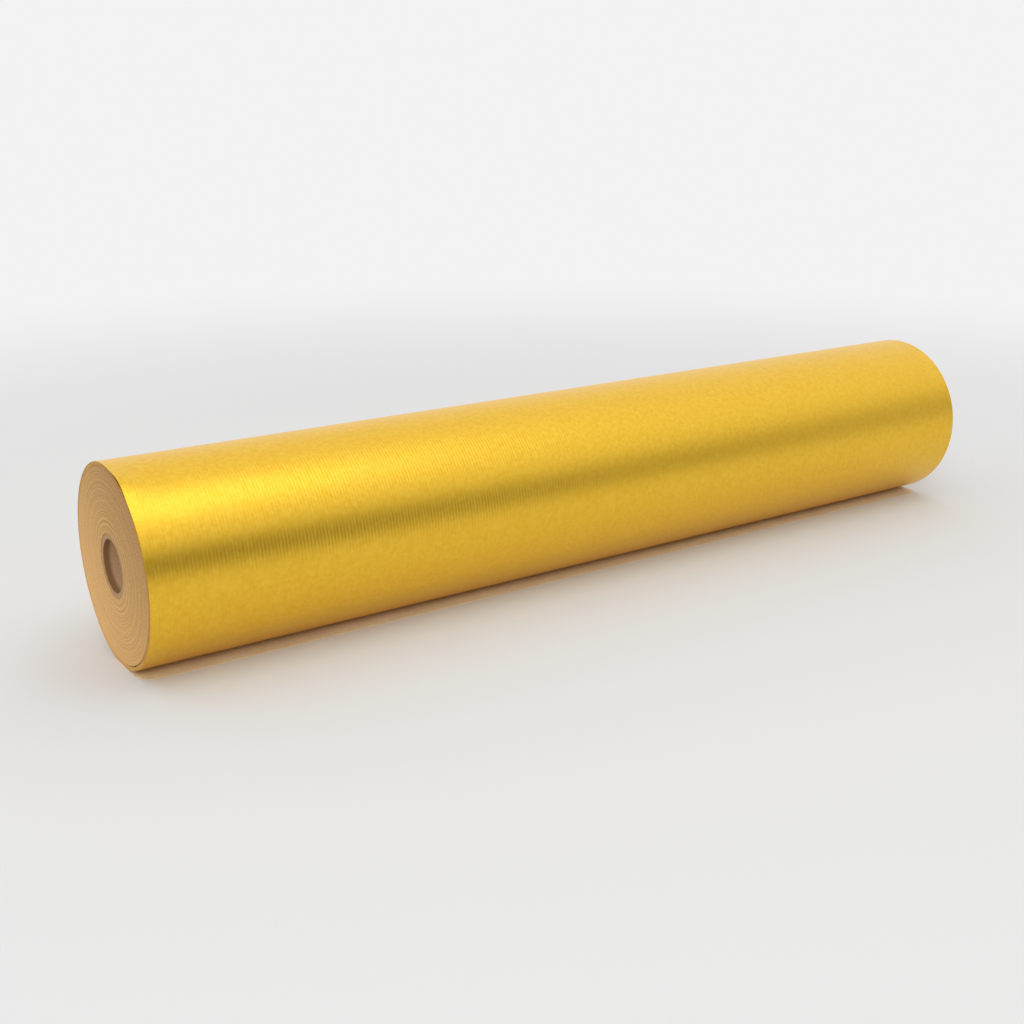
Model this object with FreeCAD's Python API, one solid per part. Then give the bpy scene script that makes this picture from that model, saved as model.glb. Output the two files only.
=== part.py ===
"""Roll of gold-faced sign web on a spiral-wound board core, lying on its side.

Frame: +X runs along the roll's axis, -Y is the side where the web's loose end lies,
+Z is up. The origin is under the middle of the roll, on the surface that it rests on.
All lengths are in millimetres.
"""

import FreeCAD, Part
import math
import os

from FreeCAD import Vector

# ---------------------------------------------------------------- driving dimensions
# The web: a thin face film on a release liner
web_width = 610.0
film_thickness = 0.08
liner_thickness = 0.14

# The wound roll
roll_radius = 56.0  # to the film's outer face
resting_flat = 10.0  # width of the band that the roll's weight flattens
loose_turns = 8  # outermost turns, no longer tight
air_gap = 0.04  # between one loose turn and the next
sag_reach = 5.0  # the outermost turn lies flat this far in front of the axis
sag_step = 0.10  # and each turn inwards this much less
sag_tightness = 12.0  # the sagging corner's radius is this much less than the roll's

# The loose end of the web
tail_reach = 30.0  # how far in front of the axis the end lies
tail_bend = 16.0  # where the end bends when it is lifted
bend_slit = 0.05  # clearance between the two sides of the bend
left_corner = 11.0  # radius of the end's corner at -X
right_corner = 7.0  # radius of the end's corner at +X

# The core: board strips wound in helices and glued, ply on ply
bore_radius = 14.45
inner_ply = 0.40
body_ply = 0.50
body_plies = 5
outer_ply = 0.30
ply_advance = 124.0  # along the axis in one turn of a strip
ply_seam = 0.6  # gap where a strip's edges meet, round the core
seam_stagger = 0.38  # of a turn, from one ply's seam to the next ply's
core_setback = 0.3  # of the core's ends behind the web's edges

# The tape that fixes the web's first turn to the core
tape_thickness = 0.12
tape_width = 25.0
tape_margin = 3.0  # from the core's ends to the tape's

# ---------------------------------------------------------------- worked out from them
web_thickness = film_thickness + liner_thickness
turn_pitch = web_thickness + air_gap
axis_height = math.sqrt(roll_radius**2 - (resting_flat / 2) ** 2)
sag_radius = roll_radius - sag_tightness
left_end = -web_width / 2
core_radius = bore_radius + inner_ply + body_plies * body_ply + outer_ply
core_length = web_width - 2 * core_setback
full_turn = 2 * math.pi
front_angle = 0.75 * full_turn  # where a turn is furthest towards -Y
arc_span = math.radians(45.0)  # a long arc is cut into arcs no longer than this
cut_margin = 1.0  # a cutter runs this far past what it cuts
skin_margin = 0.05  # and this far past a ply's two faces
nearly = 0.01  # places that are this close are the same


# ---------------------------------------------------------------- helpers
def save(shape, node):
    """Write one piece as one STEP file."""
    if not shape.isValid():
        raise ValueError(node + " is not a valid solid")
    shape.exportStep(os.path.join("parts", node + ".step"))


def tube(inner_radius, outer_radius, length):
    """A tube on the roll's axis, centred on its length."""
    start = Vector(-length / 2, 0, axis_height)
    along = Vector(1, 0, 0)
    outer = Part.makeCylinder(outer_radius, length, start, along)
    inner = Part.makeCylinder(inner_radius, length, start, along)
    return outer.cut(inner)


def line(start, end):
    """A straight edge between two (y, z) places of the roll's end."""
    return Part.LineSegment(end_point(*start), end_point(*end)).toShape()


def end_point(across, up):
    """The point of the -X end at a (y, z) place."""
    return Vector(left_end, across, up)


def on_circle(centre, radius, angle):
    """The (y, z) place on a circle, at an angle that grows from the underside to +Y."""
    return centre[0] + radius * math.sin(angle), centre[1] - radius * math.cos(angle)


def arcs(centre, radius, start, stop):
    """The edges of one circular stretch, cut into equal arcs."""
    count = math.ceil((stop - start) / arc_span)
    step = (stop - start) / count
    edges = []
    for number in range(count):
        first = start + number * step
        places = [on_circle(centre, radius, first + share * step) for share in (0, 0.5, 1)]
        edges.append(Part.Arc(*[end_point(*place) for place in places]).toShape())
    return edges


def turn_radius(turn, depth):
    """Radius of a turn about the roll's axis, depth below the film's outer face."""
    return roll_radius - turn * turn_pitch - depth


def flat_end(turn, depth):
    """How far towards +Y the flattened band of a turn reaches."""
    height = axis_height - turn * turn_pitch - depth
    return math.sqrt(turn_radius(turn, depth) ** 2 - height**2)


def round_stretch(turn, depth):
    """A turn's edges from its flattened band, up the +Y side and over to the front."""
    radius = turn_radius(turn, depth)
    start = math.asin(flat_end(turn, depth) / radius)
    return arcs((0, axis_height), radius, start, front_angle)


def sag(turn):
    """How far in front of the axis a loose turn starts to lie flat."""
    return sag_reach - sag_step * turn


def sagging_stretch(turn, depth):
    """A loose turn's edges from the front down to the next turn's flattened band.

    Two arcs that meet without a corner: a long one down the front, and the sagging one.
    """
    front = turn_radius(turn, 0.0)
    below = (turn + 1) * turn_pitch
    wide = front - sag(turn) - sag_radius
    tall = axis_height - below - sag_radius
    bend = 2 * math.atan(wide / tall)
    long_radius = sag_radius + tall / math.sin(bend)
    long_centre = (long_radius - front, axis_height)
    low_centre = (-sag(turn), below + sag_radius)
    middle = front_angle + bend
    upper = arcs(long_centre, long_radius - depth, front_angle, middle)
    return upper + arcs(low_centre, sag_radius - depth, middle, full_turn)


def wound_edges(depth):
    """The edges of one face of the web, from its bend to the end of the loose turns."""
    edges = [line((-tail_bend, depth), (flat_end(0, depth), depth))]
    for turn in range(loose_turns):
        edges += round_stretch(turn, depth) + sagging_stretch(turn, depth)
        height = (turn + 1) * turn_pitch + depth
        last = turn == loose_turns - 1
        stop = 0.0 if last else flat_end(turn + 1, depth)
        edges.append(line((-sag(turn), height), (stop, height)))
    return edges


def wound_sheet(outer_depth, inner_depth):
    """A sheet of the web's loose turns between two depths, the web's full width."""
    outer = wound_edges(outer_depth)
    inner = wound_edges(inner_depth)
    bend = line((-tail_bend, outer_depth), (-tail_bend, inner_depth))
    height = loose_turns * turn_pitch
    stop = line((0.0, height + outer_depth), (0.0, height + inner_depth))
    wire = Part.Wire(Part.__sortEdges__(outer + inner + [bend, stop]))
    return Part.Face(wire).extrude(Vector(web_width, 0, 0))


def rounded(block, side, radius):
    """The block with its upright edge at x = side, on the front, rounded."""
    for edge in block.Edges:
        middle = edge.CenterOfMass
        in_front = abs(middle.y + tail_reach) < nearly
        upright = edge.Vertexes[0].Z != edge.Vertexes[-1].Z
        if in_front and upright and abs(middle.x - side) < nearly:
            return block.makeFillet(radius, [edge])
    raise ValueError("no corner to round")


def tail_sheet(low, high):
    """A layer of the loose end, lying flat in front of the bend, with rounded corners."""
    depth = tail_reach - tail_bend - bend_slit
    block = Part.makeBox(web_width, depth, high - low, Vector(left_end, -tail_reach, low))
    block = rounded(block, left_end, min(left_corner, depth - cut_margin))
    return rounded(block, -left_end, min(right_corner, depth - cut_margin))


# ---------------------------------------------------------------- the core
def seam_cutter(radius, thickness, turned):
    """A thin helical bar that parts one ply along its strip's edges."""
    lead_in = ply_advance
    helix = Part.makeHelix(ply_advance, core_length + 2 * lead_in, radius)
    reach = thickness / 2 + skin_margin
    half = ply_seam / 2
    corners = [
        Vector(radius - reach, -half, 0),
        Vector(radius + reach, -half, 0),
        Vector(radius + reach, half, 0),
        Vector(radius - reach, half, 0),
    ]
    section = Part.makePolygon(corners + corners[:1])
    bar = Part.Wire(helix.Edges).makePipeShell([section], True, True)
    bar.rotate(Vector(0, 0, 0), Vector(0, 0, 1), math.degrees(turned))
    bar.rotate(Vector(0, 0, 0), Vector(0, 1, 0), 90)
    bar.translate(Vector(-core_length / 2 - lead_in, 0, axis_height))
    return bar


def core_ply(inner_radius, thickness, turned):
    """One board strip of the core, wound in a helix whose edges nearly meet."""
    ply = tube(inner_radius, inner_radius + thickness, core_length)
    strip = ply.cut(seam_cutter(inner_radius + thickness / 2, thickness, turned))
    if len(strip.Solids) != 1:
        raise ValueError("a ply is one strip")
    return strip.Solids[0]


def core():
    """Every ply of the core, from the bore outwards, as (node, shape) pairs."""
    plies = [("core_inner_ply", inner_ply)]
    for number in range(body_plies):
        plies.append(("core_body_ply_%d" % (number + 1), body_ply))
    plies.append(("core_outer_ply", outer_ply))
    built = []
    radius = bore_radius
    for number, (node, thickness) in enumerate(plies):
        turned = full_turn * seam_stagger * number
        built.append((node, core_ply(radius, thickness, turned)))
        radius += thickness
    return built


def start_tape():
    """The double-sided tape on the core, under the web's first turn."""
    length = core_length - 2 * tape_margin
    ring = tube(core_radius, core_radius + tape_thickness, length)
    start = Vector(-length / 2 - cut_margin, 0, axis_height)
    angle = math.degrees(tape_width / core_radius)
    long = length + 2 * cut_margin
    sector = Part.makeCylinder(2 * core_radius, long, start, Vector(1, 0, 0), angle)
    return ring.common(sector)


# ---------------------------------------------------------------- the wound web
def wound_web(tape):
    """The tight turns, from the core out to the loose ones, with the last turn's step."""
    low = loose_turns * turn_pitch
    high = low + turn_pitch
    radius = axis_height - high
    centre = (radius - turn_radius(loose_turns, 0.0), axis_height)
    edges = [line((0.0, low), (flat_end(loose_turns, 0.0), low))]
    edges += round_stretch(loose_turns, 0.0)
    edges += arcs(centre, radius, front_angle, full_turn)
    edges.append(line((centre[0], high), (0.0, high)))
    edges.append(line((0.0, high), (0.0, low)))
    block = Part.Face(Part.Wire(Part.__sortEdges__(edges))).extrude(Vector(web_width, 0, 0))
    start = Vector(left_end - cut_margin, 0, axis_height)
    long = web_width + 2 * cut_margin
    bore = Part.makeCylinder(core_radius, long, start, Vector(1, 0, 0))
    return block.cut(bore).cut(tape)


# ---------------------------------------------------------------- build
def main():
    """Build every piece and write it."""
    os.makedirs("parts", exist_ok=True)
    for node, shape in core():
        save(shape, node)
    tape = start_tape()
    save(tape, "start_tape")
    save(wound_web(tape), "wound_web")
    save(wound_sheet(0.0, film_thickness), "outer_wrap_film")
    save(wound_sheet(film_thickness, web_thickness), "outer_wrap_liner")
    save(tail_sheet(0.0, film_thickness), "tail_film")
    save(tail_sheet(film_thickness, web_thickness), "tail_liner")


main()
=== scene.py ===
"""The looks of a roll of gold-faced sign web on a spiral-wound board core.

The web is a metallised film on a kraft release liner. Its last turns have loosened and
sag a little low on the front, and its loose end lies flat on the table, liner side up.
Frame: +X runs along the roll's axis, -Y is the side of the loose end, +Z is up. The
origin is under the middle of the roll, on the surface that it rests on. Metres.
"""

from __future__ import annotations

import logging
import math
import random
from collections.abc import Callable
from dataclasses import dataclass
from enum import Enum

import bmesh
import bpy
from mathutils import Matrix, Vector


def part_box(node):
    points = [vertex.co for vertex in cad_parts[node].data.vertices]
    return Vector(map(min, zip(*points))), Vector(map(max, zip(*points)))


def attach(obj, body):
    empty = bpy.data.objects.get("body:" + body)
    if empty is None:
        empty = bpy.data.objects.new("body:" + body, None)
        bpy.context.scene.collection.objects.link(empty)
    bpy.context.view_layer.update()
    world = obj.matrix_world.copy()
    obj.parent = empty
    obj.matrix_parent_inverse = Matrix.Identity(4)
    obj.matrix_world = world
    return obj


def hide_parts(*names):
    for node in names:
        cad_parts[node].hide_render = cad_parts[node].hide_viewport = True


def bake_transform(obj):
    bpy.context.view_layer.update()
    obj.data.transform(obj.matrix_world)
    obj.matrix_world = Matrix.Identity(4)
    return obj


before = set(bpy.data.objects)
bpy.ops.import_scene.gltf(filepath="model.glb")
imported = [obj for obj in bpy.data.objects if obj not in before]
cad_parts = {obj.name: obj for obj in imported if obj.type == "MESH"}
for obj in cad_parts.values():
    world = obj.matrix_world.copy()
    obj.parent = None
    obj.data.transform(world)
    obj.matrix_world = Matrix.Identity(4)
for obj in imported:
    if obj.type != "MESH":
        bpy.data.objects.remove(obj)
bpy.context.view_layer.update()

logging.basicConfig(level=logging.INFO, format="%(message)s")
log = logging.getLogger("sign_web_roll")

MM = 0.001
NEARLY = 0.1 * MM  # places closer than this are the same
WHITE = "#FFFFFF"
Test = Callable[[Vector], bool]


# ------------------------------------------------------------------ hand tools
def pick_up(piece: bpy.types.Object) -> None:
    """Select one piece alone and make it the active one.

    Args:
        piece: The piece.
    """
    bpy.ops.object.select_all(action="DESELECT")
    piece.select_set(True)
    bpy.context.view_layer.objects.active = piece


def start_editing(name: str) -> bpy.types.Object:
    """Name the primitive that was just added and open its mesh.

    Args:
        name: The piece's name.

    Returns:
        The piece, in edit mode with all of it selected.
    """
    piece = bpy.context.object
    piece.name = name
    piece.data.name = name
    bpy.ops.object.mode_set(mode="EDIT")
    bpy.ops.mesh.select_mode(type="VERT")
    bpy.ops.mesh.select_all(action="SELECT")
    return piece


def stop_editing() -> None:
    """Close the mesh that is being edited."""
    bpy.ops.object.mode_set(mode="OBJECT")


def select_places(wanted: Test) -> None:
    """In edit mode, select the vertices at the wanted places, and what they enclose.

    Args:
        wanted: Says whether a place is wanted.
    """
    mesh = bpy.context.object.data
    shape = bmesh.from_edit_mesh(mesh)
    for part in (*shape.faces, *shape.edges):
        part.select = False
    for corner in shape.verts:
        corner.select = wanted(corner.co)
    shape.select_flush(True)
    bmesh.update_edit_mesh(mesh)


def select_edges(wanted: Callable[[Vector, Vector], bool]) -> None:
    """In edit mode, select only the edges whose two ends are as wanted.

    Args:
        wanted: Says whether an edge between two places is wanted.
    """
    bpy.ops.mesh.select_mode(type="EDGE")
    mesh = bpy.context.object.data
    shape = bmesh.from_edit_mesh(mesh)
    for face in shape.faces:
        face.select = False
    for edge in shape.edges:
        edge.select = wanted(edge.verts[0].co, edge.verts[1].co)
    shape.select_flush_mode()
    bmesh.update_edit_mesh(mesh)


def face_outwards(from_place: Vector) -> None:
    """In edit mode, make an open sheet's faces agree and look away from a line along X.

    Args:
        from_place: A place on that line.
    """
    bpy.ops.mesh.select_all(action="SELECT")
    bpy.ops.mesh.normals_make_consistent(inside=False)
    mesh = bpy.context.object.data
    shape = bmesh.from_edit_mesh(mesh)
    shape.normal_update()
    outwards = 0.0
    for face in shape.faces:
        outwards += face.normal.dot(face.calc_center_median() - from_place) * face.calc_area()
    if outwards < 0:
        bpy.ops.mesh.flip_normals()


def thicken(piece: bpy.types.Object, thickness: float, offset: float) -> None:
    """Give a sheet its thickness.

    Args:
        piece: The sheet.
        thickness: Its thickness.
        offset: -1 to grow behind its faces, 1 to grow in front of them.
    """
    pick_up(piece)
    wall = piece.modifiers.new("thickness", "SOLIDIFY")
    wall.thickness = thickness
    wall.offset = offset
    bpy.ops.object.modifier_apply(modifier=wall.name)


# ------------------------------------------------------------------ sizes and places
@dataclass(frozen=True)
class RollPlace:
    """The roll's own sizes and place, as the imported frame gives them."""

    half_length: float
    radius: float
    axis_height: float
    core_radius: float

    @classmethod
    def from_frame(cls) -> RollPlace:
        """Read the sizes from the frame's nodes.

        Returns:
            The roll's sizes and place.
        """
        _, web_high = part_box("outer_wrap_film")
        _, core_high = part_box("core_outer_ply")
        return cls(
            half_length=web_high.x,
            radius=web_high.y,
            axis_height=web_high.z - web_high.y,
            core_radius=core_high.y,
        )

    @property
    def axis(self) -> Vector:
        """The middle of the roll's axis."""
        return Vector((0.0, 0.0, self.axis_height))


@dataclass(frozen=True)
class Web:
    """The web's two layers, and the air between its loose turns."""

    film: float = 0.08 * MM
    liner: float = 0.14 * MM
    air_gap: float = 0.04 * MM

    @property
    def thickness(self) -> float:
        """Film and liner together."""
        return self.film + self.liner

    @property
    def turn_pitch(self) -> float:
        """From one loose turn to the next."""
        return self.thickness + self.air_gap


# ------------------------------------------------------------------ node helpers
def linear(code: str) -> tuple[float, float, float, float]:
    """Turn an sRGB hex colour into the linear one that a shader takes.

    Args:
        code: Six hex digits after a hash.

    Returns:
        Red, green, blue and alpha.
    """
    channels = [int(code[start : start + 2], 16) / 255 for start in (1, 3, 5)]
    lit = [c / 12.92 if c <= 0.04045 else ((c + 0.055) / 1.055) ** 2.4 for c in channels]
    return lit[0], lit[1], lit[2], 1.0


def add_node(
    tree: bpy.types.NodeTree,
    kind: str,
    values: dict[str | int, object] | None = None,
    links: dict[str | int, bpy.types.NodeSocket] | None = None,
) -> bpy.types.Node:
    """Add a node with its settings and links.

    Args:
        tree: Where the node goes.
        kind: The node's type.
        values: Settings and unlinked inputs, by name or number.
        links: What feeds the other inputs.

    Returns:
        The node.
    """
    node = tree.nodes.new(kind)
    for key, value in (values or {}).items():
        if isinstance(key, str) and hasattr(node, key):
            setattr(node, key, value)
        else:
            node.inputs[key].default_value = value
    for key, socket in (links or {}).items():
        tree.links.new(socket, node.inputs[key])
    return node


def set_ramp(node: bpy.types.Node, *stops: tuple[float, str]) -> None:
    """Set a colour ramp's stops.

    Args:
        node: The ramp's node.
        stops: Places from 0 to 1, each with an sRGB hex colour.
    """
    elements = node.color_ramp.elements
    while len(elements) < len(stops):
        elements.new(0.5)
    for element, (place, code) in zip(elements, stops):
        element.position = place
        element.color = linear(code)


def new_material(name: str) -> tuple[bpy.types.Material, bpy.types.NodeTree, bpy.types.Node]:
    """Start a material.

    Args:
        name: What the real material is called.

    Returns:
        The material, its node tree and its shader.
    """
    material = bpy.data.materials.new(name)
    material.use_nodes = True
    tree = material.node_tree
    return material, tree, tree.nodes["Principled BSDF"]


def dress(piece: bpy.types.Object, material: bpy.types.Material) -> None:
    """Give a piece one material all over.

    Args:
        piece: The piece.
        material: Its material.
    """
    if not piece.material_slots:
        piece.data.materials.append(material)
    for slot in piece.material_slots:
        slot.material = material


# ------------------------------------------------------------------ finishes
@dataclass(frozen=True)
class GoldFilm:
    """Metallised polyester film with a tinted satin lacquer, laminated to the liner.

    The metal gives clear coloured reflections, the lacquer spreads them, and the liner's
    fibres under the film leave a faint mottle.
    """

    colour: str = "#F6C945"
    deep_colour: str = "#EFBD36"
    roughness: float = 0.36
    roughness_swing: float = 0.05
    brush_width: float = 0.5 * MM  # lacquer streaks, drawn three times too wide to show
    brush_length: float = 14 * MM
    mottle_size: float = 2.6 * MM
    relief: float = 0.007 * MM

    def make(self) -> bpy.types.Material:
        """Build the material.

        Returns:
            The material.
        """
        material, tree, shader = new_material("metallised_film")
        place = add_node(tree, "ShaderNodeTexCoord").outputs["Object"]
        across = (1 / self.brush_width, 1 / self.brush_length, 1 / self.brush_length)
        streaked = add_node(tree, "ShaderNodeMapping", {"Scale": across}, {"Vector": place})
        streaks = add_node(
            tree,
            "ShaderNodeTexNoise",
            {"Scale": 1.0, "Detail": 3.0, "Roughness": 0.6},
            {"Vector": streaked.outputs["Vector"]},
        )
        mottle = add_node(
            tree,
            "ShaderNodeTexNoise",
            {"Scale": 1 / self.mottle_size, "Detail": 4.0, "Roughness": 0.65},
            {"Vector": place},
        )
        tone = add_node(tree, "ShaderNodeValToRGB", links={"Fac": mottle.outputs["Fac"]})
        set_ramp(tone, (0.35, self.deep_colour), (0.65, self.colour))
        tree.links.new(tone.outputs["Color"], shader.inputs["Base Color"])
        gloss = add_node(
            tree,
            "ShaderNodeMapRange",
            {
                "To Min": self.roughness - self.roughness_swing,
                "To Max": self.roughness + self.roughness_swing,
            },
            {"Value": streaks.outputs["Fac"]},
        )
        tree.links.new(gloss.outputs["Result"], shader.inputs["Roughness"])
        height = add_node(
            tree,
            "ShaderNodeMath",
            {"operation": "MULTIPLY_ADD", 1: 0.6},
            {0: mottle.outputs["Fac"], 2: streaks.outputs["Fac"]},
        )
        bump = add_node(
            tree,
            "ShaderNodeBump",
            {"Strength": 1.0, "Distance": self.relief},
            {"Height": height.outputs["Value"]},
        )
        tree.links.new(bump.outputs["Normal"], shader.inputs["Normal"])
        shader.inputs["Metallic"].default_value = 1.0
        return material


@dataclass(frozen=True)
class KraftPaper:
    """Unbleached kraft paper, machine glazed.

    Long fibres lie mostly round the roll and leave fine darker and paler flecks.
    """

    pale: str = "#F2E3C9"
    dark: str = "#DDC8A6"
    roughness: float = 0.72
    fibre_width: float = 0.35 * MM
    fibre_length: float = 4 * MM
    cloud_size: float = 18 * MM
    relief: float = 0.02 * MM

    def make(self) -> bpy.types.Material:
        """Build the material.

        Returns:
            The material.
        """
        material, tree, shader = new_material("kraft_liner")
        place = add_node(tree, "ShaderNodeTexCoord").outputs["Object"]
        lengthwise = (1 / self.fibre_width, 1 / self.fibre_length, 1 / self.fibre_width)
        laid = add_node(tree, "ShaderNodeMapping", {"Scale": lengthwise}, {"Vector": place})
        fibres = add_node(
            tree,
            "ShaderNodeTexNoise",
            {"Scale": 1.0, "Detail": 5.0, "Roughness": 0.7, "Distortion": 0.4},
            {"Vector": laid.outputs["Vector"]},
        )
        clouds = add_node(
            tree,
            "ShaderNodeTexNoise",
            {"Scale": 1 / self.cloud_size, "Detail": 3.0},
            {"Vector": place},
        )
        blend = add_node(
            tree,
            "ShaderNodeMath",
            {"operation": "MULTIPLY_ADD", 1: 0.5},
            {0: clouds.outputs["Fac"], 2: fibres.outputs["Fac"]},
        )
        tone = add_node(tree, "ShaderNodeValToRGB", links={"Fac": blend.outputs["Value"]})
        set_ramp(tone, (0.55, self.dark), (0.95, self.pale))
        tree.links.new(tone.outputs["Color"], shader.inputs["Base Color"])
        bump = add_node(
            tree,
            "ShaderNodeBump",
            {"Strength": 1.0, "Distance": self.relief},
            {"Height": fibres.outputs["Fac"]},
        )
        tree.links.new(bump.outputs["Normal"], shader.inputs["Normal"])
        shader.inputs["Roughness"].default_value = self.roughness
        shader.inputs["IOR"].default_value = 1.5
        return material


@dataclass(frozen=True)
class WoundEdge:
    """The slit edges of some 160 turns of kraft liner and film, seen end on.

    Each turn is a fine line, and turns wound at a different tension stand out as paler or
    The lower, back side is painted paler and the upper, front side darker: painted light
    bounced from the table.
    """

    pale: str = "#F3C077"
    dark: str = "#89602C"
    roughness: float = 0.8
    ring_width: float = 1.7 * MM
    turn_width: float = 0.44 * MM  # two turns to a line, to show
    waver: float = 0.9 * MM
    waver_size: float = 1000 / 45 * MM
    speck_size: float = 0.9 * MM
    relief: float = 0.02 * MM
    ring_share: float = 0.35
    speck_share: float = 0.9
    # painted light: the ends are painted paler towards this side, as light bounced from the
    # table
    painted_bounce_side: tuple[float, float, float] = (0.0, 0.6, -0.8)
    painted_bounce_share: float = 0.3

    def make(self, roll: RollPlace) -> bpy.types.Material:
        """Build the material.

        Args:
            roll: Where the roll lies.

        Returns:
            The material.
        """
        material, tree, shader = new_material("slit_kraft_edges")
        place = add_node(tree, "ShaderNodeTexCoord").outputs["Object"]
        centred = add_node(
            tree, "ShaderNodeMapping", {"Location": -roll.axis}, {"Vector": place}
        )
        spoke = add_node(
            tree,
            "ShaderNodeVectorMath",
            {"operation": "MULTIPLY", 1: (0.0, 1.0, 1.0)},
            {0: centred.outputs["Vector"]},
        )
        distance = add_node(
            tree, "ShaderNodeVectorMath", {"operation": "LENGTH"}, {0: spoke.outputs["Vector"]}
        )
        drift = add_node(
            tree,
            "ShaderNodeTexNoise",
            {"Scale": 1 / self.waver_size, "Detail": 2.0},
            {"Vector": spoke.outputs["Vector"]},
        )
        wavered = add_node(
            tree,
            "ShaderNodeMath",
            {"operation": "MULTIPLY_ADD", 1: self.waver},
            {0: drift.outputs["Fac"], 2: distance.outputs["Value"]},
        )
        rings = add_node(
            tree,
            "ShaderNodeTexNoise",
            {"noise_dimensions": "1D", "Scale": 1 / self.ring_width, "Detail": 1.5},
            {"W": wavered.outputs["Value"]},
        )
        turns = add_node(
            tree,
            "ShaderNodeTexNoise",
            {"noise_dimensions": "1D", "Scale": 1 / self.turn_width, "Detail": 1.0},
            {"W": distance.outputs["Value"]},
        )
        specks = add_node(
            tree,
            "ShaderNodeTexNoise",
            {"Scale": 1 / self.speck_size, "Detail": 3.0, "Roughness": 0.7},
            {"Vector": place},
        )
        # painted light: paler towards the table and the back, darker towards the upper front
        towards = Vector(self.painted_bounce_side) / roll.radius
        painted_bounce = add_node(
            tree,
            "ShaderNodeVectorMath",
            {"operation": "DOT_PRODUCT", 1: towards},
            {0: spoke.outputs["Vector"]},
        )
        lines = add_node(
            tree,
            "ShaderNodeMath",
            {"operation": "MULTIPLY_ADD", 1: self.ring_share},
            {0: rings.outputs["Fac"], 2: turns.outputs["Fac"]},
        )
        grain = add_node(
            tree,
            "ShaderNodeMath",
            {"operation": "MULTIPLY_ADD", 1: self.speck_share},
            {0: specks.outputs["Fac"], 2: lines.outputs["Value"]},
        )
        # grain plus the painted bounce light
        shade = add_node(
            tree,
            "ShaderNodeMath",
            {"operation": "MULTIPLY_ADD", 1: self.painted_bounce_share},
            {0: painted_bounce.outputs["Value"], 2: grain.outputs["Value"]},
        )
        lightness = add_node(
            tree,
            "ShaderNodeMapRange",
            {"From Min": 0.57, "From Max": 1.67},
            {"Value": shade.outputs["Value"]},
        )
        tone = add_node(tree, "ShaderNodeValToRGB", links={"Fac": lightness.outputs["Result"]})
        set_ramp(tone, (0.0, self.dark), (1.0, self.pale))
        tree.links.new(tone.outputs["Color"], shader.inputs["Base Color"])
        bump = add_node(
            tree,
            "ShaderNodeBump",
            {"Strength": 1.0, "Distance": self.relief},
            {"Height": grain.outputs["Value"]},
        )
        tree.links.new(bump.outputs["Normal"], shader.inputs["Normal"])
        shader.inputs["Roughness"].default_value = self.roughness
        shader.inputs["IOR"].default_value = 1.5
        return material


@dataclass(frozen=True)
class CoreBoard:
    """Recycled core board, wound in strips: dull, with short fibres and dark flecks."""

    name: str = "core_board"
    pale: str = "#BD9569"
    dark: str = "#A07A50"
    fleck: str = "#84603E"
    roughness: float = 0.85
    fibre_size: float = 0.6 * MM
    fleck_size: float = 1.1 * MM
    relief: float = 0.03 * MM
    painted_dark_mouth_depth: float = 0.0  # how far in from the ends the bore is painted darker, so that the paler wall deeper in reads as a painted highlight
    # the darker colour painted at the bore's mouths, around the painted highlight
    painted_dark_mouth: str = "#8A643C"

    def make(self, roll: RollPlace) -> bpy.types.Material:
        """Build the material.

        Args:
            roll: Where the roll lies.

        Returns:
            The material.
        """
        material, tree, shader = new_material(self.name)
        place = add_node(tree, "ShaderNodeTexCoord").outputs["Object"]
        fibres = add_node(
            tree,
            "ShaderNodeTexNoise",
            {"Scale": 1 / self.fibre_size, "Detail": 5.0, "Roughness": 0.7, "Distortion": 0.8},
            {"Vector": place},
        )
        tone = add_node(tree, "ShaderNodeValToRGB", links={"Fac": fibres.outputs["Fac"]})
        set_ramp(tone, (0.35, self.dark), (0.65, self.pale))
        flecks = add_node(
            tree, "ShaderNodeTexVoronoi", {"Scale": 1 / self.fleck_size}, {"Vector": place}
        )
        near = add_node(
            tree,
            "ShaderNodeMapRange",
            {"From Min": 0.22, "From Max": 0.1, "To Max": 0.6},
            {"Value": flecks.outputs["Distance"]},
        )
        colour = add_node(
            tree,
            "ShaderNodeMix",
            {"data_type": "RGBA", 7: linear(self.fleck)},
            {0: near.outputs["Result"], 6: tone.outputs["Color"]},
        )
        # painted highlight: the first few millimetres from each end are painted darker, so the
        # paler wall deeper in stands for light catching it
        if self.painted_dark_mouth_depth:
            along = add_node(tree, "ShaderNodeSeparateXYZ", links={"Vector": place})
            away = add_node(
                tree,
                "ShaderNodeMath",
                {"operation": "ABSOLUTE"},
                {0: along.outputs["X"]},
            )
            dark_mouth_mix = add_node(
                tree,
                "ShaderNodeMapRange",
                {
                    "interpolation_type": "SMOOTHSTEP",
                    "From Min": roll.half_length - self.painted_dark_mouth_depth,
                    "From Max": roll.half_length - self.painted_dark_mouth_depth / 2,
                },
                {"Value": away.outputs["Value"]},
            )
            colour = add_node(
                tree,
                "ShaderNodeMix",
                {"data_type": "RGBA", 7: linear(self.painted_dark_mouth)},
                {0: dark_mouth_mix.outputs["Result"], 6: colour.outputs[2]},
            )
        tree.links.new(colour.outputs[2], shader.inputs["Base Color"])
        bump = add_node(
            tree,
            "ShaderNodeBump",
            {"Strength": 1.0, "Distance": self.relief},
            {"Height": fibres.outputs["Fac"]},
        )
        tree.links.new(bump.outputs["Normal"], shader.inputs["Normal"])
        shader.inputs["Roughness"].default_value = self.roughness
        shader.inputs["IOR"].default_value = 1.5
        return material


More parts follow.
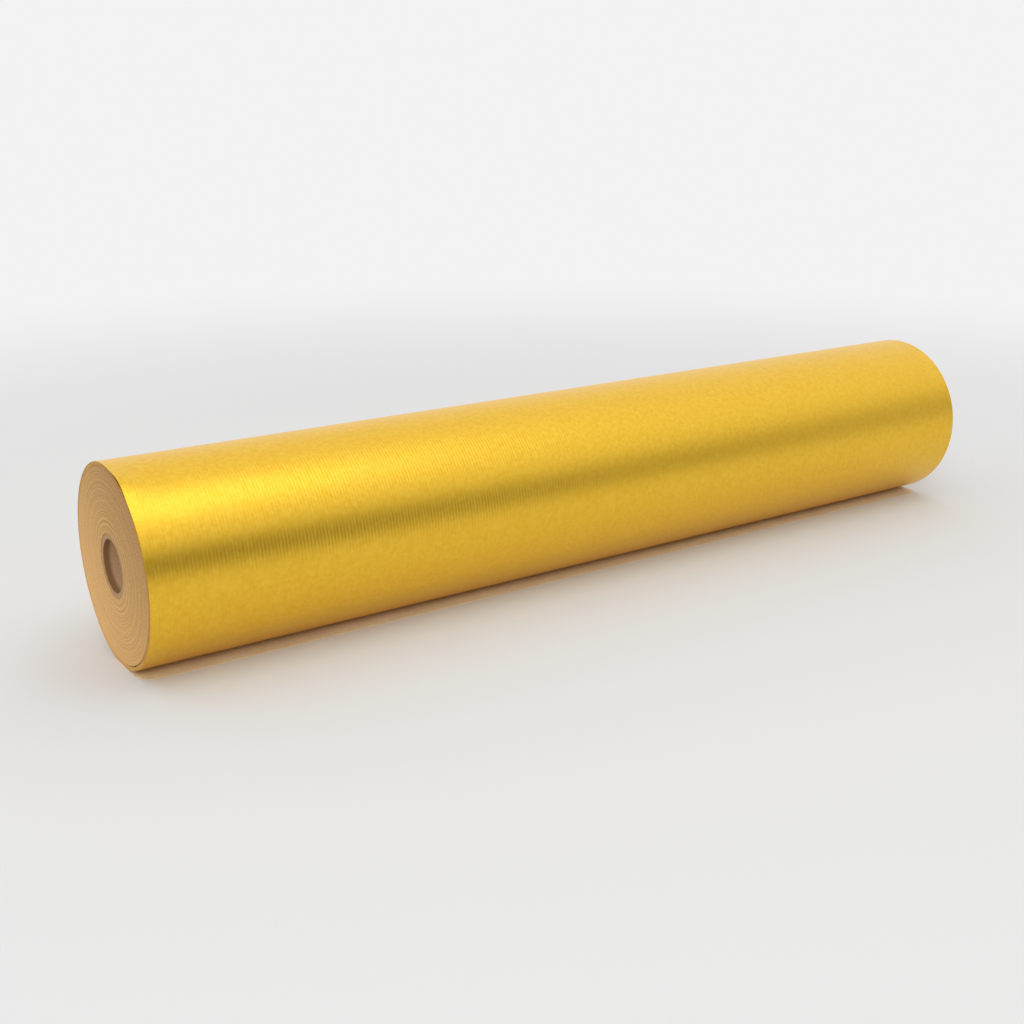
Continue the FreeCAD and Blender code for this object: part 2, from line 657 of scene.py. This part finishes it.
@dataclass(frozen=True)
class TissueTape:
    """Double-sided tissue tape: acrylic adhesive on a translucent fibre carrier."""

    pale: str = "#E6DEC2"
    dark: str = "#D3C8A4"
    roughness: float = 0.45
    fibre_size: float = 1.5 * MM

    def make(self) -> bpy.types.Material:
        """Build the material.

        Returns:
            The material.
        """
        material, tree, shader = new_material("tissue_tape")
        place = add_node(tree, "ShaderNodeTexCoord").outputs["Object"]
        fibres = add_node(
            tree,
            "ShaderNodeTexNoise",
            {"Scale": 1 / self.fibre_size, "Detail": 4.0, "Distortion": 1.0},
            {"Vector": place},
        )
        tone = add_node(tree, "ShaderNodeValToRGB", links={"Fac": fibres.outputs["Fac"]})
        set_ramp(tone, (0.4, self.dark), (0.6, self.pale))
        tree.links.new(tone.outputs["Color"], shader.inputs["Base Color"])
        shader.inputs["Roughness"].default_value = self.roughness
        shader.inputs["IOR"].default_value = 1.47
        return material


# ------------------------------------------------------------------ the loose turns
class Layer(Enum):
    """The web's two layers, from the outside inwards."""

    FILM = "film"
    LINER = "liner"


@dataclass
class LooseTurns:
    """The web's outermost turns, which have loosened and sag low on the front."""

    roll: RollPlace
    web: Web
    turns: int = 8
    sag_reach: float = 5.0 * MM
    sag_step: float = 0.1 * MM
    sag_tightness: float = 12.0 * MM
    round_steps: int = 57
    long_steps: int = 13
    low_steps: int = 6
    rib_pitch: float = 2.0 * MM
    rib_depth: float = 0.07 * MM
    ribbed_wall: float = 0.04 * MM
    lip_angle: float = 66.0  # degrees above the axis, on the front
    lip_lift: float = 1.5 * MM
    lip_spread: float = 16.0 * MM
    lip_reach: float = 3.2 * MM  # this far from the lip's middle, the edge lifts in full
    most_inset: float = 0.22 * MM
    sharpest: float = 40.0  # degrees between faces that still look like one curve
    seed: int = 7

    @property
    def rib_count(self) -> int:
        """How many ribs the film has."""
        return round(2 * self.roll.half_length / self.rib_pitch)

    @property
    def column_width(self) -> float:
        """The width of a column of faces of the ribbed film, two to a rib."""
        return self.rib_pitch / 2

    def depth(self, layer: Layer) -> float:
        """How deep a layer's outer face is below the film's outer face."""
        return 0.0 if layer is Layer.FILM else self.web.film

    def sag(self, turn: int) -> float:
        """How far in front of the axis a turn lies flat."""
        return self.sag_reach - self.sag_step * turn

    def radius_of(self, turn: int, depth: float) -> float:
        """A turn's radius about the roll's axis at a depth."""
        return self.roll.radius - turn * self.web.turn_pitch - depth

    def flat_end(self, turn: int, depth: float) -> float:
        """How far towards +Y a turn's flattened band reaches.

        Args:
            turn: The turn's number, 0 for the outermost.
            depth: The face's depth below the film's outer face.

        Returns:
            The band's end.
        """
        radius = self.radius_of(turn, depth)
        height = self.roll.axis_height - turn * self.web.turn_pitch - depth
        return math.sqrt(radius**2 - height**2)

    def insets(self) -> list[float]:
        """How far behind the outermost turn's edges each turn's edges lie."""
        chance = random.Random(self.seed)
        return [0.0] + [chance.uniform(0.0, self.most_inset) for _ in range(self.turns)]

    def wind(self, name: str, layer: Layer, turns: range, columns: int) -> bpy.types.Object:
        """Wind one face of a layer as an open sheet.

        Args:
            name: The piece's name.
            layer: Which of the web's layers.
            turns: Which turns, from the outermost inwards.
            columns: How many strips the sheet has along the roll.

        Returns:
            The sheet, with its faces outwards.
        """
        depth = self.depth(layer)
        insets = self.insets()
        half = self.roll.half_length - insets[turns.start]
        reach = self.flat_end(turns.start, depth)
        level = turns.start * self.web.turn_pitch + depth
        bpy.ops.object.select_all(action="DESELECT")
        bpy.ops.mesh.primitive_grid_add(x_subdivisions=columns, y_subdivisions=1, size=1.0)
        sheet = start_editing(name)
        bpy.ops.transform.resize(value=(2 * half, reach, 1.0))
        bpy.ops.transform.translate(value=(0.0, reach / 2, level))
        select_places(lambda place: place.y > reach / 2)
        for turn in turns:
            self.wind_turn(turn, depth)
            inner = turn + 1
            stop = self.flat_end(inner, depth) if inner in turns else 0.0
            run = stop + self.sag(turn)
            bpy.ops.mesh.extrude_region_move(TRANSFORM_OT_translate={"value": (0.0, run, 0.0)})
            if inner in turns:
                narrower = self.roll.half_length - insets[inner]
                bpy.ops.transform.resize(value=(narrower / half, 1.0, 1.0))
                half = narrower
        face_outwards(self.roll.axis)
        stop_editing()
        return sheet

    def wind_turn(self, turn: int, depth: float) -> None:
        """Spin the selected row once round the roll, down to the next turn's flat band.

        Args:
            turn: The turn's number, 0 for the outermost.
            depth: The face's depth below the film's outer face.
        """
        front = self.radius_of(turn, 0.0)
        below = (turn + 1) * self.web.turn_pitch
        sag = self.sag(turn)
        low_radius = self.roll.radius - self.sag_tightness
        wide = front - sag - low_radius
        tall = self.roll.axis_height - below - low_radius
        bend = 2 * math.atan(wide / tall)
        long_radius = low_radius + tall / math.sin(bend)
        start = math.asin(self.flat_end(turn, depth) / self.radius_of(turn, depth))
        quarter = math.pi / 2
        stretches = (
            (self.round_steps, 3 * quarter - start, 0.0, self.roll.axis_height),
            (self.long_steps, bend, long_radius - front, self.roll.axis_height),
            (self.low_steps, quarter - bend, -sag, below + low_radius),
        )
        for steps, angle, across, up in stretches:
            bpy.ops.mesh.spin(
                steps=steps, angle=angle, center=(0.0, across, up), axis=(-1.0, 0.0, 0.0)
            )

    def press_ribs(self, sheet: bpy.types.Object) -> None:
        """Emboss the film's fine ribs, which run round the roll and vary a little.

        Args:
            sheet: The outermost turn's film, with two columns to a rib.
        """
        chance = random.Random(self.seed)
        depths = (0.7, 0.85, 1.0)
        chosen = [chance.choice(depths) for _ in range(self.rib_count)]
        pick_up(sheet)
        bpy.ops.object.mode_set(mode="EDIT")
        bpy.ops.mesh.select_mode(type="VERT")
        for depth in depths:
            columns = {2 * rib + 1 for rib, own in enumerate(chosen) if own == depth}

            def in_valley(place: Vector) -> bool:
                """Whether a place is in a valley of this depth."""
                column = (place.x + self.roll.half_length) / self.column_width
                return round(column) in columns

            select_places(in_valley)
            drawn_in = 1 - self.rib_depth * depth / self.roll.radius
            bpy.ops.transform.resize(
                value=(1.0, drawn_in, drawn_in), center_override=self.roll.axis
            )
        select_edges(lambda one, other: abs(one.x - other.x) < NEARLY)
        bpy.ops.mesh.mark_sharp()
        stop_editing()

    def cut_columns(self, sheet: bpy.types.Object) -> None:
        """Cut a plain layer into the film's columns as far as the lip's lift spreads.

        Args:
            sheet: The layer.
        """
        pick_up(sheet)
        bpy.ops.object.mode_set(mode="EDIT")
        for column in range(1, math.ceil(self.lip_spread / self.column_width) + 2):
            bpy.ops.mesh.select_all(action="SELECT")
            place = (column * self.column_width - self.roll.half_length, 0.0, 0.0)
            bpy.ops.mesh.bisect(plane_co=place, plane_no=(1.0, 0.0, 0.0))
        stop_editing()

    def lift_lip(self, sheet: bpy.types.Object) -> None:
        """Lift the outermost turn a little off the roll, high on the front of the -X end.

        Args:
            sheet: A layer that has the outermost turn.
        """
        end = -self.roll.half_length
        angle = math.radians(self.lip_angle)
        outwards = Vector((0.0, -math.cos(angle), math.sin(angle)))
        lip = self.roll.axis + outwards * self.roll.radius
        reach = self.roll.radius - self.web.film - self.web.turn_pitch / 2
        pick_up(sheet)
        bpy.ops.object.mode_set(mode="EDIT")
        bpy.ops.mesh.select_mode(type="VERT")

        def on_lip(place: Vector) -> bool:
            """Tell whether a place is on the outermost turn's edge, close to the lip.

            Args:
                place: The place.

            Returns:
                Whether it is.
            """
            spoke = Vector((0.0, place.y, place.z - self.roll.axis_height))
            on_edge = abs(place.x - end) < NEARLY and spoke.length > reach
            across, up = abs(place.y - lip.y), place.z - lip.z
            return on_edge and across < self.lip_reach and up > -self.lip_reach

        select_places(on_lip)
        bpy.ops.transform.translate(
            value=outwards * self.lip_lift,
            use_proportional_edit=True,
            use_proportional_connected=True,
            proportional_size=self.lip_spread,
            proportional_edit_falloff="SMOOTH",
        )
        stop_editing()

    def build(self, gold: bpy.types.Material, edges: bpy.types.Material) -> None:
        """Build and dress the loose turns.

        Args:
            gold: The film's finish.
            edges: The finish of the liner, which shows only its slit edges here.
        """
        columns = 2 * self.rib_count
        outer = self.wind("gold_film_outer_turn", Layer.FILM, range(1), columns)
        self.press_ribs(outer)
        self.lift_lip(outer)
        thicken(outer, self.ribbed_wall, -1)
        inner = self.wind("gold_film_inner_turns", Layer.FILM, range(1, self.turns), 1)
        thicken(inner, self.web.film, -1)
        liner = self.wind("kraft_liner_turns", Layer.LINER, range(self.turns), 1)
        self.cut_columns(liner)
        self.lift_lip(liner)
        thicken(liner, self.web.liner, -1)
        for piece, finish, slot in (
            (outer, gold, "gold_film"),
            (inner, gold, "gold_film"),
            (liner, edges, "kraft_liner"),
        ):
            pick_up(piece)
            bpy.ops.object.shade_smooth_by_angle(angle=math.radians(self.sharpest))
            dress(piece, finish)
            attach(piece, "roll")
            log.info("%s: %d faces", piece.name, len(piece.data.polygons))
        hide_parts("outer_wrap_film")
        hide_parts("outer_wrap_liner")


# ------------------------------------------------------------------ the tight turns
@dataclass
class TightTurns:
    """The web's tight turns, whose edges show as fine ridges on both ends."""

    roll: RollPlace
    web: Web
    loose_turns: int = 8
    clearance: float = 0.11 * MM
    spin_steps: int = 96
    levels: int = 6
    level_step: float = 0.006 * MM
    merge_distance: float = 0.005 * MM
    sharpest: float = 50.0  # degrees between faces that still look like one curve
    seed: int = 11

    @property
    def radius(self) -> float:
        """The outermost tight turn's radius."""
        return self.roll.radius - self.loose_turns * self.web.turn_pitch - self.clearance

    @property
    def turns(self) -> int:
        """How many tight turns there are."""
        return round((self.radius - self.roll.core_radius) / self.web.thickness)

    @property
    def underside(self) -> float:
        """The height of the tight turns' flattened underside."""
        return (self.loose_turns + 1) * self.web.turn_pitch

    def outline(self) -> bpy.types.Object:
        """Draw the half section: both ends' turns, joined along the core and outside.

        Returns:
            The piece, in edit mode.
        """
        depth = self.radius - self.roll.core_radius
        bpy.ops.object.select_all(action="DESELECT")
        bpy.ops.mesh.primitive_grid_add(x_subdivisions=1, y_subdivisions=self.turns, size=1.0)
        section = start_editing("wound_web_body")
        bpy.ops.transform.resize(value=(2 * self.roll.half_length, depth, 1.0))
        middle = self.roll.core_radius + depth / 2
        bpy.ops.transform.translate(value=(0.0, middle, self.roll.axis_height))
        bpy.ops.mesh.delete(type="ONLY_FACE")
        low = self.roll.core_radius + self.web.thickness / 2
        high = self.radius - self.web.thickness / 2
        select_edges(lambda one, other: one.x * other.x < 0 and low < one.y < high)
        bpy.ops.mesh.delete(type="EDGE")
        bpy.ops.mesh.select_mode(type="VERT")
        return section

    def stagger(self, side: int) -> None:
        """Set the turns' edges back by small chance steps at one end.

        Args:
            side: -1 for the end at -X, 1 for the end at +X.
        """
        chance = random.Random(self.seed + side)
        steps = []
        level = 0
        for _ in range(self.turns + 1):
            level += chance.choice((-2, -1, -1, 0, 1, 1, 2))
            level = min(max(level, 0), self.levels - 1)
            steps.append(level)
        for level in range(1, self.levels):

            def at_level(place: Vector) -> bool:
                """Whether a place is on a turn of this level, at this end."""
                row = round((place.y - self.roll.core_radius) / self.web.thickness)
                return place.x * side > 0 and steps[min(row, self.turns)] == level

            select_places(at_level)
            back = -side * level * self.level_step
            bpy.ops.transform.translate(value=(back, 0.0, 0.0))

    def build(self, finish: bpy.types.Material) -> None:
        """Build and dress the tight turns.

        Args:
            finish: The finish of the slit edges.
        """
        body = self.outline()
        self.stagger(-1)
        self.stagger(1)
        bpy.ops.mesh.select_all(action="SELECT")
        bpy.ops.mesh.spin(
            steps=self.spin_steps, angle=math.tau, center=self.roll.axis, axis=(1.0, 0.0, 0.0)
        )
        bpy.ops.mesh.select_all(action="SELECT")
        bpy.ops.mesh.remove_doubles(threshold=self.merge_distance)
        bpy.ops.mesh.normals_make_consistent(inside=False)
        select_places(lambda place: place.z < self.underside)
        flat = (0.0, 0.0, self.underside)
        bpy.ops.transform.resize(value=(1.0, 1.0, 0.0), center_override=flat)
        stop_editing()
        pick_up(body)
        bpy.ops.object.shade_smooth_by_angle(angle=math.radians(self.sharpest))
        dress(body, finish)
        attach(body, "roll")
        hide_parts("wound_web")
        log.info("%s: %d faces", body.name, len(body.data.polygons))


# ------------------------------------------------------------------ the loose end
@dataclass
class LooseEnd:
    """The web's end, flat on the table in front of the roll, liner side up."""

    roll: RollPlace
    web: Web
    reach: float = 30.0 * MM
    bend_start: float = 16.0 * MM
    bend_end: float = 24.0 * MM
    left_corner: float = 11.0 * MM
    right_corner: float = 7.0 * MM
    corner_steps: int = 10
    first_row: float = 3.0 * MM
    row: float = 1.0 * MM

    def lay(self, name: str, low: float, thickness: float) -> bpy.types.Object:
        """Lay one of the web's layers on the table.

        Args:
            name: The piece's name.
            low: The height of its underside.
            thickness: Its thickness.

        Returns:
            The layer, from under the roll to its rounded end.
        """
        half = self.roll.half_length
        bpy.ops.object.select_all(action="DESELECT")
        bpy.ops.mesh.primitive_plane_add(size=1.0)
        sheet = start_editing(name)
        bpy.ops.transform.resize(value=(2 * half, self.reach, 1.0))
        bpy.ops.transform.translate(value=(0.0, -self.reach / 2, low))
        for side, corner in ((-1, self.left_corner), (1, self.right_corner)):
            place = Vector((side * half, -self.reach, low))
            select_places(lambda spot: (spot - place).length < NEARLY)
            bpy.ops.mesh.bevel(offset=corner, segments=self.corner_steps, affect="VERTICES")
        across = self.first_row
        while across < self.reach - self.row / 2:
            bpy.ops.mesh.select_all(action="SELECT")
            bpy.ops.mesh.bisect(plane_co=(0.0, -across, low), plane_no=(0.0, 1.0, 0.0))
            across += self.row
        stop_editing()
        thicken(sheet, thickness, 1)
        return sheet

    def build(self, gold: bpy.types.Material, kraft: bpy.types.Material) -> None:
        """Build and dress the loose end.

        Args:
            gold: The film's finish.
            kraft: The liner's finish.
        """
        film = self.lay("gold_film_loose_end", 0.0, self.web.film)
        liner = self.lay("kraft_liner_loose_end", self.web.film, self.web.liner)
        for piece, finish, slot, node in (
            (film, gold, "gold_film", "tail_film"),
            (liner, kraft, "kraft_liner", "tail_liner"),
        ):
            dress(piece, finish)
            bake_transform(piece)
            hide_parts(node)
            log.info("%s: %d faces", piece.name, len(piece.data.polygons))


# ------------------------------------------------------------------ the core
@dataclass
class Core:
    """The spiral-wound board core, whose plies keep the frame's own shapes."""

    body_plies: int = 5

    def build(
        self,
        liner: bpy.types.Material,
        board: bpy.types.Material,
        tape: bpy.types.Material,
    ) -> None:
        """Dress the plies and the tape.

        Args:
            liner: The inner ply's finish.
            board: The other plies' finish.
            tape: The tape's finish.
        """
        finishes = {"core_inner_ply": liner, "core_outer_ply": board, "start_tape": tape}
        for number in range(self.body_plies):
            finishes[f"core_body_ply_{number + 1}"] = board
        for name, finish in finishes.items():
            dress(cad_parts[name], finish)
            log.info("%s: dressed", name)


# ------------------------------------------------------------------ the studio
@dataclass(frozen=True)
class SoftBox:
    """A square soft light: where it hangs, its side in metres and its power in watts."""

    name: str
    place: tuple[float, float, float]
    size: float
    power: float


@dataclass
class Studio:
    """A pale table, soft light and the camera."""

    roll: RollPlace
    soft_boxes: tuple[SoftBox, ...] = (
        SoftBox("overhead_softbox", (0.03, -0.35, 1.25), 0.7, 1.6),
        SoftBox("front_left_softbox", (-2.2, -2.4, 1.6), 1.4, 37.0),
    )
    camera_place: tuple[float, float, float] = (-0.5036, -0.6647, 0.2983)
    camera_aim: tuple[float, float, float] = (0.5364, 0.7865, -0.3060)
    lens: float = 47.01
    sensor_width: float = 36.0
    floor_size: float = 60.0
    floor_colour: str = "#DEDEDE"
    tooth_per_metre: float = 900.0  # the paper's tooth, drawn coarser to show
    near_floor: float = 0.4  # out to here the floor is only paper
    far_floor: float = 1.3  # and from here on it is as bright as the room
    sky: float = 0.95
    low_front: float = 0.0
    low_right: float = 0.6
    dim_up_to: float = 0.23  # how high, as a direction's Z, the front stays dim
    bright_from: float = 0.56
    dim_right_to: float = 0.3  # how far right, as a direction's X, low light stays dim
    bright_right_from: float = 0.75
    front_to: float = -0.15  # how far back, as a direction's Y, the front reaches
    behind_from: float = 0.35
    pale: float = 0.89  # how bright the far floor and the room look

    def lay_floor(self) -> None:
        """Lay the table top."""
        bpy.ops.object.select_all(action="DESELECT")
        bpy.ops.mesh.primitive_plane_add(size=self.floor_size)
        floor = bpy.context.object
        floor.name = "studio_floor"
        material, tree, shader = new_material("matt_pale_paper")
        place = add_node(tree, "ShaderNodeTexCoord").outputs["Object"]
        tooth = add_node(
            tree, "ShaderNodeTexNoise", {"Scale": self.tooth_per_metre}, {"Vector": place}
        )
        bump = add_node(
            tree,
            "ShaderNodeBump",
            {"Strength": 0.2, "Distance": 0.02 * MM},
            {"Height": tooth.outputs["Fac"]},
        )
        tree.links.new(bump.outputs["Normal"], shader.inputs["Normal"])
        shader.inputs["Base Color"].default_value = linear(self.floor_colour)
        shader.inputs["Roughness"].default_value = 0.9
        shader.inputs["Specular IOR Level"].default_value = 0.2
        away = add_node(tree, "ShaderNodeVectorMath", {"operation": "LENGTH"}, {0: place})
        far = add_node(
            tree,
            "ShaderNodeMapRange",
            {
                "interpolation_type": "SMOOTHSTEP",
                "From Min": self.near_floor,
                "From Max": self.far_floor,
            },
            {"Value": away.outputs["Value"]},
        )
        glow = add_node(
            tree, "ShaderNodeEmission", {"Color": linear(WHITE), "Strength": self.pale}
        )
        fade = add_node(
            tree,
            "ShaderNodeMixShader",
            links={
                0: far.outputs["Result"],
                1: shader.outputs["BSDF"],
                2: glow.outputs["Emission"],
            },
        )
        output = tree.nodes["Material Output"]
        tree.links.new(fade.outputs["Shader"], output.inputs["Surface"])
        dress(floor, material)

    def hang_light(self, box: SoftBox) -> None:
        """Hang one square soft light and point it at the roll.

        Args:
            box: The light.
        """
        bpy.ops.object.select_all(action="DESELECT")
        bpy.ops.object.light_add(type="AREA", location=box.place)
        light = bpy.context.object
        light.name = box.name
        aim = self.roll.axis - Vector(box.place)
        light.rotation_euler = aim.to_track_quat("-Z", "Y").to_euler()
        light.data.shape = "SQUARE"
        light.data.size = box.size
        light.data.energy = box.power

    def light_sky(self) -> None:
        """Light the room: bright above and behind, dim low in front."""
        world = bpy.data.worlds.new("soft_room")
        bpy.context.scene.world = world
        world.use_nodes = True
        tree = world.node_tree
        tree.nodes.clear()
        view = add_node(tree, "ShaderNodeTexCoord").outputs["Generated"]
        parts = add_node(tree, "ShaderNodeSeparateXYZ", links={"Vector": view})
        low = add_node(
            tree,
            "ShaderNodeMapRange",
            {
                "From Min": self.dim_right_to,
                "From Max": self.bright_right_from,
                "To Min": self.low_front,
                "To Max": self.low_right,
            },
            {"Value": parts.outputs["X"]},
        )
        rise = add_node(
            tree,
            "ShaderNodeMapRange",
            {
                "interpolation_type": "SMOOTHSTEP",
                "From Min": self.dim_up_to,
                "From Max": self.bright_from,
                "To Max": self.sky,
            },
            {"Value": parts.outputs["Z"], "To Min": low.outputs["Result"]},
        )
        behind = add_node(
            tree,
            "ShaderNodeMapRange",
            {
                "interpolation_type": "SMOOTHSTEP",
                "From Min": self.front_to,
                "From Max": self.behind_from,
            },
            {"Value": parts.outputs["Y"]},
        )
        level = add_node(
            tree,
            "ShaderNodeMix",
            {"data_type": "FLOAT", 3: self.sky},
            {0: behind.outputs["Result"], 2: rise.outputs["Result"]},
        )
        lit = add_node(
            tree,
            "ShaderNodeBackground",
            {"Color": linear(WHITE)},
            {"Strength": level.outputs[0]},
        )
        seen = add_node(
            tree, "ShaderNodeBackground", {"Color": linear(WHITE), "Strength": self.pale}
        )
        path = add_node(tree, "ShaderNodeLightPath")
        either = add_node(
            tree,
            "ShaderNodeMixShader",
            links={
                0: path.outputs["Is Camera Ray"],
                1: lit.outputs["Background"],
                2: seen.outputs["Background"],
            },
        )
        add_node(tree, "ShaderNodeOutputWorld", links={"Surface": either.outputs["Shader"]})

    def set_camera(self) -> None:
        """Stand the camera where the roll's near end and front both show."""
        bpy.ops.object.select_all(action="DESELECT")
        bpy.ops.object.camera_add(location=self.camera_place)
        camera = bpy.context.object
        camera.rotation_euler = Vector(self.camera_aim).to_track_quat("-Z", "Y").to_euler()
        camera.data.sensor_width = self.sensor_width
        camera.data.lens = self.lens
        camera.data.clip_start = 0.01
        bpy.context.scene.camera = camera

    def build(self) -> None:
        """Set up the studio."""
        self.lay_floor()
        self.light_sky()
        for box in self.soft_boxes:
            self.hang_light(box)
        self.set_camera()
        bpy.context.scene.view_settings.view_transform = "Standard"


def main() -> None:
    """Build every piece in order, dress it and set up the studio."""
    roll = RollPlace.from_frame()
    web = Web()
    gold = GoldFilm().make()
    kraft = KraftPaper().make()
    # the bore's liner is painted pale, with darker mouths, as a painted highlight on the bore
    # wall
    core_kraft = CoreBoard(
        "core_liner", pale="#D9B48C", dark="#AE8962", fleck="#84603E", painted_dark_mouth_depth=5.0 * MM
    ).make(roll)
    edges = WoundEdge().make(roll)
    LooseTurns(roll, web).build(gold, edges)
    TightTurns(roll, web).build(edges)
    LooseEnd(roll, web).build(gold, kraft)
    Core().build(core_kraft, CoreBoard().make(roll), TissueTape().make())
    Studio(roll).build()


if __name__ == "__main__":
    main()
